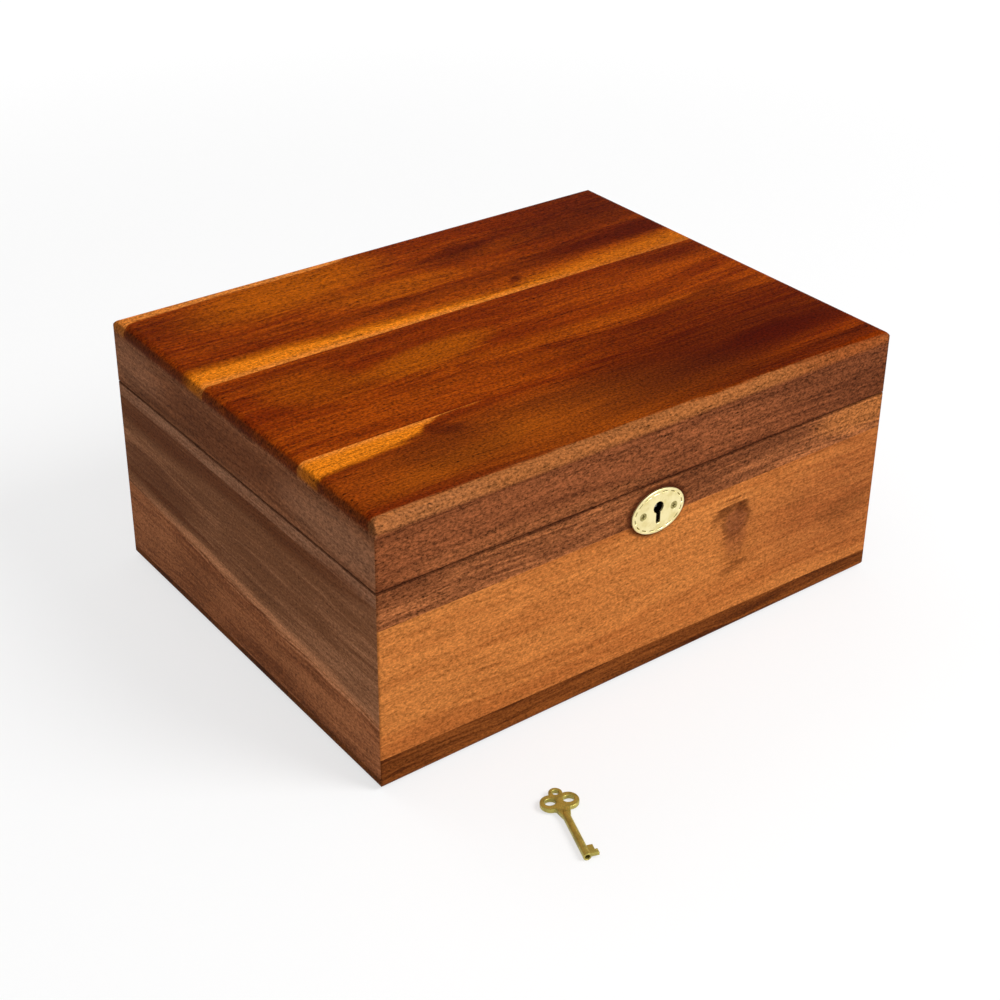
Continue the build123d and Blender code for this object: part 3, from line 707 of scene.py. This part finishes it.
def metal_finish(name, bright, dull, roughness, brushed=BRUSH_SIZE, patch=6.0, relief=0.10, metallic=1.0):
    """A worn metal: duller patches, fine brush marks and a few pits. Sizes are in millimetres."""
    finish = Finish(name)
    patches = finish.noise(finish.point, (patch,) * 3, seed=1.0, detail=4.0, roughness=0.6)
    stain = finish.ease(patches, 0.42, 0.72)
    marks = finish.noise(finish.point, brushed, seed=2.0)
    pits = finish.ease(finish.noise(finish.point, PIT_SIZE, seed=3.0, detail=1.0), 0.70, 0.78)
    tone = finish.blend((stain * 0.7 + pits * 0.5).least(1.0), bright, dull)
    return finish.surface({
        "Base Color": tone, "Metallic": metallic, "Roughness": roughness + stain * 0.14 + marks.sway(0.12),
    }, marks * 0.6 - pits * 0.5, bump=relief, reach=0.1 * MM)


# Shapes

# Points nearer than a weld are merged. Angles tell flat, smooth and sharp edges apart.
CAD_WELD, MIRROR_WELD, WELD = 0.002 * MM, 0.01 * MM, 0.001 * MM
FLAT_ANGLE, SMOOTH_ANGLE, SHARP_ANGLE = (math.radians(angle) for angle in (0.5, 33, 40))

# Widths of the eased edges, in millimetres.
LEAF_EASE, PIN_EASE, PLATE_EASE, CASE_EASE, SCREW_EASE = 0.12, 0.15, 0.14, 0.08, 0.06

# Facets of the round parts.
HOLE_STEPS, SLOT_STEPS = 40, 16
CROWN_STEPS, LOBE_STEPS, NECK_STEPS = 12, 30, 8
LOBE_HOLE_STEPS, CROWN_HOLE_STEPS, SHAFT_STEPS = 32, 24, 48
FLOOR_STEPS, SWEEP_STEPS = 96, 8

# Each point's distance past the start of the key's neck, and its share of the shaft's radius.
SHAFT_END = [(0.4, 1.0), (1.6, 0.94), (2.8, 0.78), (3.8, 0.55), (4.0, 0.0)]


def mesh_of(shape, name):
    mesh = bpy.data.meshes.new(name)
    shape.to_mesh(mesh)
    shape.free()
    return mesh


def placed(name, data):
    """A new object in the scene."""
    thing = bpy.data.objects.new(name, data)
    bpy.context.scene.collection.objects.link(thing)
    return thing


def finished(shape, name, materials, node):
    """A piece made of a shape, in place of a CAD node: it rides on the node's body, and the node is hidden.
    """
    mesh = mesh_of(shape, name)
    for material in materials:
        mesh.materials.append(material)
    mesh.shade_smooth()
    mesh.set_sharp_from_angle(angle=SMOOTH_ANGLE)
    piece = placed(name, mesh)
    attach(piece, body_of[node])
    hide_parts(node)


def eased_copy(node, width, material):
    """A copy of a CAD node whose sharp edges are eased by a width in millimetres."""
    shape = bmesh.new()
    shape.from_mesh(nodes[node].data)
    bmesh.ops.remove_doubles(shape, verts=shape.verts, dist=CAD_WELD)
    bmesh.ops.dissolve_limit(shape, angle_limit=FLAT_ANGLE, verts=shape.verts, edges=shape.edges)
    sharp = [edge for edge in shape.edges if edge.is_manifold and edge.calc_face_angle() > SHARP_ANGLE]
    bmesh.ops.bevel(shape, geom=sharp, offset=width * MM, offset_type="OFFSET", segments=2, profile=0.5,
                    affect="EDGES", clamp_overlap=True, material=-1)
    finished(shape, node + "_eased", [material], node)


def of_kind(kind, parts):
    """The vertices, edges or faces among the parts of a shape."""
    return [part for part in parts if isinstance(part, kind)]


def oval(shape, half_x, half_y, steps, centre=(0, 0), height=0.0):
    """The edges of an ellipse that lies flat."""
    verts = bmesh.ops.create_circle(shape, segments=steps, radius=1.0)["verts"]
    bmesh.ops.scale(shape, vec=(half_x, half_y, 1), verts=verts)
    bmesh.ops.translate(shape, vec=(*centre, height), verts=verts)
    return list({edge for vert in verts for edge in vert.link_edges})


def grown(shape, edges, rings, centre=(0, 0)):
    """Bands of faces that grow from a closed loop through rings round a centre.

    Each ring is two half widths and a height, and the first one is the loop itself.
    """
    space = Matrix.Translation((-centre[0], -centre[1], 0))
    bands = []
    for old, new in zip(rings, rings[1:]):
        made = bmesh.ops.extrude_edge_only(shape, edges=edges)["geom"]
        verts, edges, faces = (of_kind(kind, made) for kind in (BMVert, BMEdge, BMFace))
        bands.append(faces)
        bmesh.ops.scale(shape, vec=(new[0] / old[0], new[1] / old[1], 1), space=space, verts=verts)
        bmesh.ops.translate(shape, vec=(0, 0, new[2] - old[2]), verts=verts)
    return edges, bands


def path(shape, start, moves, height=0.0):
    """Edges along a path. A move is a point to go straight to, or an arc's centre, angle and steps."""
    first = last = shape.verts.new((*start, height))
    for move in moves:
        if len(move) == 2:
            corner = shape.verts.new((*move, height))
            shape.edges.new((last, corner))
            last = corner
        else:
            centre, angle, steps = move
            arc = bmesh.ops.spin(
                shape, geom=[last], cent=(*centre, height), axis=(0, 0, 1), angle=angle, steps=steps)
            last = of_kind(BMVert, arc["geom_last"])[0]
    return first, last


def rounded_plate(shape, thickness, rounding, steps=4):
    """Makes a plate with rounded edges of the closed loops in a shape: its outline and its holes, in XY."""
    bmesh.ops.triangle_fill(shape, use_beauty=True, edges=shape.edges, normal=(0, 0, 1))
    half = thickness / 2 - rounding
    bmesh.ops.translate(shape, verts=shape.verts, vec=(0, 0, -half))
    lifted = bmesh.ops.extrude_face_region(shape, geom=shape.faces[:])["geom"]
    bmesh.ops.translate(shape, verts=of_kind(BMVert, lifted), vec=(0, 0, 2 * half))
    bmesh.ops.recalc_face_normals(shape, faces=shape.faces)
    for side in (1, -1):
        flat = [face for face in shape.faces if face.normal.z * side > 0.9]
        for step in range(steps):
            first, last = (math.pi / 2 * part / steps for part in (step, step + 1))
            bmesh.ops.inset_region(shape, faces=flat, use_boundary=True, use_even_offset=True,
                                   thickness=rounding * (math.cos(first) - math.cos(last)),
                                   depth=rounding * (math.sin(last) - math.sin(first)))
    return shape


def turned(profile, steps):
    """A shape turned round the X axis from a profile of (x, radius) points."""
    shape = bmesh.new()
    path(shape, profile[0], profile[1:])
    bmesh.ops.spin(shape, geom=shape.verts[:] + shape.edges[:], cent=(0, 0, 0), axis=(1, 0, 0),
                   angle=2 * math.pi, steps=steps, use_merge=True)
    bmesh.ops.remove_doubles(shape, verts=shape.verts, dist=WELD)
    bmesh.ops.recalc_face_normals(shape, faces=shape.faces)
    return shape


def united(shapes):
    """One shape made of several that overlap."""
    parts = [placed("part", mesh_of(shape, "part")) for shape in shapes]
    for part in parts[1:]:
        union = parts[0].modifiers.new("union", "BOOLEAN")
        union.operation = "UNION"
        union.solver = "EXACT"
        union.object = part
    joined = bmesh.new()
    joined.from_object(parts[0], bpy.context.evaluated_depsgraph_get())
    for part in parts:
        bpy.data.objects.remove(part)
    bmesh.ops.remove_doubles(joined, verts=joined.verts, dist=WELD)
    return joined


def keyhole(shape, sizes, centre, spare, height):
    """The keyhole's edges, widened by spare: a round hole over a slot with a round end."""
    radius, half_slot = sizes.hole_radius + spare, sizes.slot_width / 2 + spare
    below = math.sqrt(radius ** 2 - half_slot ** 2)
    end = (centre[0], centre[1] - sizes.slot_drop + sizes.slot_width / 2)
    before = set(shape.edges)
    first, last = path(shape, (centre[0] + half_slot, centre[1] - below), [
        (centre, 2 * (math.pi - math.asin(half_slot / radius)), HOLE_STEPS),
        (end[0] - half_slot, end[1]),
        (end, math.pi, SLOT_STEPS),
    ], height)
    shape.edges.new((last, first))
    return [edge for edge in shape.edges if edge not in before]


def plate_shape(sizes):
    """The oval keyhole plate: a rounded rim, a ring of engraved dashes, a keyhole and two screw holes."""
    low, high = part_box("escutcheon")
    half_x, half_y, thickness = (high.x - low.x) / 2, (high.z - low.z) / 2, high.y - low.y
    middle = (low + high) / 2
    pin_low, pin_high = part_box("drill_pin")
    hole_centre = ((pin_low.x + pin_high.x) / 2 - middle.x, (pin_low.z + pin_high.z) / 2 - middle.z)
    screw_low, screw_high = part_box("escutcheon_screws")
    screw_reach = (screw_high.x - screw_low.x) / 2 - (screw_high.z - screw_low.z) / 2
    steps = sizes.dash_count * sizes.steps_per_dash

    rounding = sizes.round_edge
    turns = [math.radians(angle) for angle in (0, 30, 60, 90)]
    rims = [(0, 0)]
    rims += [(rounding * (1 - math.cos(t)), thickness - rounding + rounding * math.sin(t)) for t in turns]
    rims += [(sizes.dash_inset + part * sizes.dash_width / 2, thickness) for part in (-1, 1)]
    shape = bmesh.new()
    back = oval(shape, half_x, half_y, steps)
    inner, bands = grown(shape, back, [(half_x - inset, half_y - inset, height) for inset, height in rims])

    wide = keyhole(shape, sizes, hole_centre, sizes.hole_ease, thickness)
    narrow = keyhole(shape, sizes, hole_centre, 0, thickness - sizes.hole_ease)
    through = keyhole(shape, sizes, hole_centre, 0, 0)
    bmesh.ops.bridge_loops(shape, edges=wide + narrow)
    bmesh.ops.bridge_loops(shape, edges=narrow + through)
    face_loops, back_loops = inner + wide, back + through
    for side in (-1, 1):
        seat, shank = sizes.screw_hole_radius, sizes.screw_shank_radius
        centre = (side * screw_reach, 0)
        edges = oval(shape, seat, seat, HOLE_STEPS, centre, thickness)
        exit_edges, _ = grown(shape, edges, [(seat, seat, thickness), (shank, shank, 0)], centre)
        face_loops += edges
        back_loops += exit_edges
    for edges in (face_loops, back_loops):
        bmesh.ops.triangle_fill(shape, use_beauty=True, edges=edges, normal=(0, 0, 1))
    bmesh.ops.recalc_face_normals(shape, faces=shape.faces)

    dashes = []
    for face in bands[-1]:
        middle_x, middle_y, _ = face.calc_center_median()
        turn_part = math.atan2(middle_y / half_y, middle_x / half_x) / (2 * math.pi) % 1
        if turn_part * steps % sizes.steps_per_dash < sizes.steps_per_dash * sizes.dash_share:
            dashes.append(face)
    bmesh.ops.inset_region(shape, faces=dashes, use_boundary=True, use_even_offset=True,
                           thickness=sizes.dash_slope, depth=-sizes.dash_depth)
    for face in dashes:
        face.material_index = 1
    stand = Matrix.Translation((middle.x, high.y, middle.z)) @ Matrix.Rotation(math.pi / 2, 4, "X")
    bmesh.ops.transform(shape, matrix=stand, verts=shape.verts)
    return shape


def bow_shape(sizes, bow_x):
    """The key's flat bow: a small lobe at the end, two large ones, and a neck that narrows to the shaft."""
    crown, lobe = Vector((bow_x + sizes.crown_height, 0)), Vector((bow_x, sizes.lobe_spread))
    apart = (lobe - crown).length
    towards = math.atan2(lobe.y - crown.y, lobe.x - crown.x)
    squares = apart ** 2 + sizes.crown_radius ** 2 - sizes.lobe_radius ** 2
    meet_angle = towards - math.acos(squares / (2 * apart * sizes.crown_radius))
    meet = crown + sizes.crown_radius * Vector((math.cos(meet_angle), math.sin(meet_angle)))
    lobe_start = math.atan2(meet.y - lobe.y, meet.x - lobe.x)
    fillet = lobe - Vector((sizes.lobe_radius + sizes.neck_fillet, 0))
    corner = fillet + Matrix.Rotation(-sizes.neck_turn, 2) @ Vector((sizes.neck_fillet, 0))
    neck_x = corner.x - (corner.y - sizes.shaft_radius) * math.tan(sizes.neck_turn)

    shape = bmesh.new()
    path(shape, (crown.x + sizes.crown_radius, 0), [
        (crown, meet_angle, CROWN_STEPS), (lobe, math.pi - lobe_start, LOBE_STEPS),
        (fillet, -sizes.neck_turn, NECK_STEPS), (neck_x, sizes.shaft_radius), (neck_x, 0),
    ])
    bmesh.ops.mirror(shape, geom=shape.verts[:] + shape.edges[:], axis="Y", merge_dist=MIRROR_WELD)
    for side in (-1, 1):
        centre = (bow_x + sizes.lobe_hole_shift, side * (sizes.lobe_spread + sizes.lobe_hole_shift))
        oval(shape, sizes.lobe_hole_width / 2, sizes.lobe_hole_length / 2, LOBE_HOLE_STEPS, centre)
    oval(shape, sizes.crown_hole_radius, sizes.crown_hole_radius, CROWN_HOLE_STEPS, crown)
    return rounded_plate(shape, sizes.bow_thickness, sizes.round_edge), neck_x


def key_shape(sizes):
    """The key, lying on the floor: a cast bow, a hollow shaft and a stepped bit."""
    bow_x = sizes.length - sizes.crown_height - sizes.crown_radius
    bow, neck_x = bow_shape(sizes, bow_x)
    radius, ease = sizes.shaft_radius, sizes.tip_ease
    shaft = turned([
        (sizes.bore_depth, 0), (sizes.bore_depth, sizes.bore_radius), (ease, sizes.bore_radius),
        (0, sizes.bore_radius + ease), (0, radius - ease), (ease, radius),
        *((neck_x + past * MM, radius * part) for past, part in SHAFT_END),
    ], SHAFT_STEPS)

    start, step = sizes.bit_setback, sizes.bit_setback + sizes.bit_tip_length
    end = sizes.bit_setback + sizes.bit_length
    bit = bmesh.new()
    first, last = path(bit, (start, -sizes.bit_root), [
        (start, -sizes.bit_reach), (step, -sizes.bit_reach), (step, -sizes.bit_short_reach),
        (end, -sizes.bit_short_reach), (end, -sizes.bit_root)])
    bit.edges.new((last, first))
    shape = united([shaft, bow, rounded_plate(bit, sizes.bit_thickness, sizes.bit_round_edge)])
    lie = Matrix.Translation((sizes.tip_x, sizes.tip_y, radius)) @ Matrix.Rotation(sizes.direction, 4, "Z")
    bmesh.ops.transform(shape, matrix=lie, verts=shape.verts)
    return shape


# Stage


def floor_finish(sizes):
    """White paper. It shows lighter than it lights the box, and keeps the box's shadow."""
    finish = Finish("white_paper")
    kinds = ("Camera", "Glossy", "Transmission")
    rays = [finish.add("ShaderNodeLightPath", {}, {}, f"Is {kind} Ray") for kind in kinds]
    distance = finish.add("ShaderNodeVectorMath", {"operation": "LENGTH"}, {0: finish.point}, "Value")
    ends = (sizes.shadow_reach / MM, sizes.shadow_end / MM)
    fade = finish.ease(distance, *ends, low=1 - sizes.shadow_near)
    glow = fade * (rays[0] + rays[1] + rays[2])
    paper = finish.add("ShaderNodeBsdfDiffuse", {}, {"Color": (sizes.paper,) * 3})
    light = finish.add("ShaderNodeEmission", {}, {"Color": (1, 1, 1), "Strength": sizes.white})
    mixed = finish.add("ShaderNodeMixShader", {}, {0: glow, 1: paper, 2: light})
    return finish.closed(mixed)


def sweep_shape(sizes):
    """A round floor whose rim curves up into a low backdrop."""
    shape = bmesh.new()
    bmesh.ops.create_circle(shape, cap_ends=True, segments=FLOOR_STEPS, radius=sizes.floor_radius)
    turns = [math.pi / 2 * step / SWEEP_STEPS for step in range(SWEEP_STEPS + 1)]
    reach = [(sizes.floor_radius + sizes.sweep_radius * math.sin(t), sizes.sweep_radius * (1 - math.cos(t)))
             for t in turns]
    reach.append((reach[-1][0], sizes.sweep_height))
    grown(shape, shape.edges[:], [(radius, radius, height) for radius, height in reach])
    return shape


def area_lamp(name, place, size, power):
    lamp = bpy.data.lights.new(name, "AREA")
    lamp.shape = "DISK"
    lamp.size = size
    lamp.energy = power
    holder = placed(name, lamp)
    holder.location = place
    holder.rotation_euler = (-Vector(place)).to_track_quat("-Z", "Y").to_euler()


# Operators


class KEEPSAKE_OT_top_boards(bpy.types.Operator):
    """Finish the three boards of the lid's top"""

    bl_idname = "keepsake.top_boards"
    bl_label = "Top Boards"

    def execute(self, context):
        finish_boards(TOP_BOARDS)
        return {"FINISHED"}


class KEEPSAKE_OT_front_boards(bpy.types.Operator):
    """Finish the boards of the front wall and the lid's front wall"""

    bl_idname = "keepsake.front_boards"
    bl_label = "Front Boards"

    def execute(self, context):
        finish_boards(FRONT_BOARDS)
        return {"FINISHED"}


class KEEPSAKE_OT_side_boards(bpy.types.Operator):
    """Finish the boards of the left and right walls, of the base and of the lid"""

    bl_idname = "keepsake.side_boards"
    bl_label = "Side Boards"

    def execute(self, context):
        finish_boards(SIDE_BOARDS)
        return {"FINISHED"}


class KEEPSAKE_OT_back_boards(bpy.types.Operator):
    """Finish the boards of the back wall and the lid's back wall"""

    bl_idname = "keepsake.back_boards"
    bl_label = "Back Boards"

    def execute(self, context):
        finish_boards(BACK_BOARDS)
        return {"FINISHED"}


class KEEPSAKE_OT_bottom_boards(bpy.types.Operator):
    """Finish the three boards of the bottom"""

    bl_idname = "keepsake.bottom_boards"
    bl_label = "Bottom Boards"

    def execute(self, context):
        finish_boards(BOTTOM_BOARDS)
        return {"FINISHED"}


class KEEPSAKE_OT_hinges(bpy.types.Operator):
    """Make the two hinges' leaves and pins, and the screws that hold them"""

    bl_idname = "keepsake.hinges"
    bl_label = "Hinges"

    def execute(self, context):
        metal = context.scene.keepsake_metal
        brass = metal_finish("hinge_brass", metal.brass, metal.brass_dark, 0.3)
        for side in ("left", "right"):
            for leaf in ("base_hinge_leaf_", "lid_hinge_leaf_"):
                eased_copy(leaf + side, LEAF_EASE, brass)
            eased_copy("hinge_pin_" + side, PIN_EASE, brass)
        for group in ("base_hinge_screws", "lid_hinge_screws"):
            eased_copy(group, SCREW_EASE, brass)
        return {"FINISHED"}


class KEEPSAKE_OT_lock(bpy.types.Operator):
    """Make the lock in the front wall and the strike plate in the lid"""

    bl_idname = "keepsake.lock"
    bl_label = "Lock"

    def execute(self, context):
        metal = context.scene.keepsake_metal
        brass = metal_finish("lock_brass", metal.brass, metal.brass_dark, 0.34)
        steel = metal_finish("lock_steel", metal.steel, metal.steel_dark, 0.38)
        for node in ("lock_plate", "strike_plate"):
            eased_copy(node, PLATE_EASE, brass)
        for node in ("lock_screws", "strike_screws"):
            eased_copy(node, SCREW_EASE, brass)
        for node in ("lock_case", "lock_bolt", "drill_pin", "bolt_guide_posts", "bolt_spring"):
            eased_copy(node, CASE_EASE, steel)
        return {"FINISHED"}


class KEEPSAKE_OT_keyhole_plate(bpy.types.Operator):
    """Make the oval keyhole plate and its two screws"""

    bl_idname = "keepsake.keyhole_plate"
    bl_label = "Keyhole Plate"

    def execute(self, context):
        metal = context.scene.keepsake_metal
        pale = metal_finish("plate_brass", metal.pale_brass, metal.pale_brass_dark, 0.36, relief=0.06)
        cut = metal_finish("plate_engraving", metal.engraving, metal.key_brass_dark, 0.6)
        screw = metal_finish("plate_screw_brass", metal.screw_brass, metal.engraving, 0.42, patch=1.6)
        finished(plate_shape(context.scene.keepsake_plate), "keyhole_plate", [pale, cut], "escutcheon")
        eased_copy("escutcheon_screws", CASE_EASE, screw)
        return {"FINISHED"}


class KEEPSAKE_OT_key(bpy.types.Operator):
    """Make the key that lies in front of the box"""

    bl_idname = "keepsake.key"
    bl_label = "Key"

    def execute(self, context):
        metal = context.scene.keepsake_metal
        brass = metal_finish(
            "key_brass", metal.key_brass, metal.key_brass_dark, 0.28, CAST_SIZE, patch=3.0, metallic=0.5)
        finished(key_shape(context.scene.keepsake_key), "key_cast", [brass], "key")
        return {"FINISHED"}


class KEEPSAKE_OT_stage(bpy.types.Operator):
    """Make the floor with its backdrop, the lamps and the camera"""

    bl_idname = "keepsake.stage"
    bl_label = "Stage"

    def execute(self, context):
        scene = context.scene
        sizes = scene.keepsake_stage
        mesh = mesh_of(sweep_shape(sizes), "paper_sweep")
        mesh.materials.append(floor_finish(sizes))
        mesh.shade_smooth()
        placed("paper_sweep", mesh)

        world = bpy.data.worlds.new("soft_room")
        scene.world = world
        world.use_nodes = True
        light = world.node_tree.nodes["Background"]
        light.inputs["Color"].default_value = (1, 1, 1, 1)
        light.inputs["Strength"].default_value = sizes.world_light
        area_lamp("key_lamp", sizes.key_place, sizes.key_size, sizes.key_light)
        area_lamp("fill_lamp", sizes.fill_place, sizes.fill_size, sizes.fill_light)

        camera = bpy.data.cameras.new("camera")
        camera.lens = sizes.lens
        camera.sensor_width = sizes.sensor
        camera.shift_y = sizes.shift
        away = Vector((
            math.sin(sizes.azimuth) * math.cos(sizes.elevation),
            -math.cos(sizes.azimuth) * math.cos(sizes.elevation),
            math.sin(sizes.elevation),
        ))
        holder = placed("camera", camera)
        holder.location = Vector((0, 0, sizes.target_height)) + away * sizes.distance
        level = away.to_track_quat("Z", "Y").to_matrix()
        holder.rotation_euler = (level @ Matrix.Rotation(sizes.roll, 3, "Z")).to_euler()
        scene.camera = holder
        scene.view_settings.view_transform = "Standard"
        return {"FINISHED"}


class KEEPSAKE_PT_panel(bpy.types.Panel):
    """The keepsake box's operators and settings"""

    bl_label = "Keepsake Box"
    bl_idname = "KEEPSAKE_PT_panel"
    bl_space_type = "VIEW_3D"
    bl_region_type = "UI"
    bl_category = "Keepsake Box"

    def draw(self, context):
        for operator in OPERATORS:
            self.layout.operator(operator.bl_idname)
        for name, group in GROUPS.items():
            box = self.layout.box()
            for field in group.__annotations__:
                box.prop(getattr(context.scene, name), field)


OPERATORS = (
    KEEPSAKE_OT_stage,
    KEEPSAKE_OT_top_boards,
    KEEPSAKE_OT_front_boards,
    KEEPSAKE_OT_side_boards,
    KEEPSAKE_OT_back_boards,
    KEEPSAKE_OT_bottom_boards,
    KEEPSAKE_OT_hinges,
    KEEPSAKE_OT_lock,
    KEEPSAKE_OT_keyhole_plate,
    KEEPSAKE_OT_key,
)


def register():
    for kind in (*GROUPS.values(), *OPERATORS, KEEPSAKE_PT_panel):
        bpy.utils.register_class(kind)
    for name, group in GROUPS.items():
        setattr(bpy.types.Scene, name, PointerProperty(type=group))


def unregister():
    for name in GROUPS:
        delattr(bpy.types.Scene, name)
    for kind in (KEEPSAKE_PT_panel, *reversed(OPERATORS), *GROUPS.values()):
        bpy.utils.unregister_class(kind)


def main():
    register()
    for operator in OPERATORS:
        family, name = operator.bl_idname.split(".")
        getattr(getattr(bpy.ops, family), name)()


if __name__ == "__main__":
    main()
